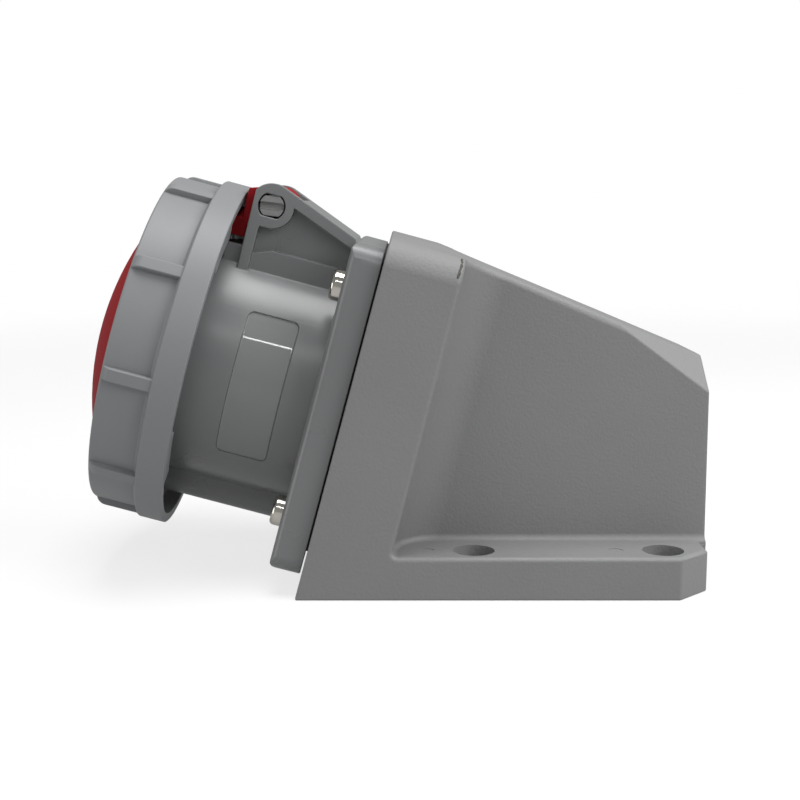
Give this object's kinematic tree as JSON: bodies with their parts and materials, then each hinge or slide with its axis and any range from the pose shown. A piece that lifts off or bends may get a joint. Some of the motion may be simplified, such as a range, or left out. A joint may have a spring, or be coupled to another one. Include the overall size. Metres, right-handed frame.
{
  "type": "surface mount pin and sleeve socket",
  "caption": "Tilted wall mount pin and sleeve power socket: hinged red lid, ribbed bayonet locking ring, flanged barrel and a hollow box on drilled feet.",
  "frame": {"origin": "midway between the four foot holes, on the mounting plane", "axes": "+Z out of the mounting plane, +X along the box from the mouth to the cable entry, Y across"},
  "size_m": [0.1967, 0.114, 0.1273],
  "materials": {
    "box_grey": "fine matte texture",
    "socket_grey": "satin",
    "ring_grey": "satin",
    "pin_grey": "satin",
    "lid_red": "satin gloss",
    "rubber": "matt",
    "insulator": "matt",
    "brass": "turned",
    "zinc": "bright plated",
    "spring_steel": "rolled"
  },
  "bodies": {
    "socket": {"wall_box": "box_grey", "socket_housing": "socket_grey", "flange_gasket": "rubber", "flange_screws": "zinc", "threaded_inserts": "brass", "hinge_pin": "pin_grey", "contact_carrier": "insulator", "contact_l1": "brass", "contact_l2": "brass", "contact_l3": "brass", "contact_n": "brass", "contact_pe": "brass", "pilot_contact": "brass", "spring_bands": "spring_steel", "contact_retainer": "insulator", "retainer_screws": "zinc", "terminal_screws": "zinc"},
    "lid": {"lid": "lid_red", "lid_seal": "rubber"},
    "ring": {"locking_ring": "ring_grey"}
  },
  "joints": [
    {"name": "lid_hinge", "type": "hinge", "parent": "socket", "child": "lid", "pos_m": [-0.09142, 0, 0.11766], "axis": [0, 1, 0], "range_deg": [0, 130]},
    {"name": "ring_turn", "type": "hinge", "parent": "lid", "child": "ring", "pos_m": [-0.12533, 0, 0.07146], "axis": [0.9659, 0, -0.2588], "range_deg": [0, 30]}
  ]
}
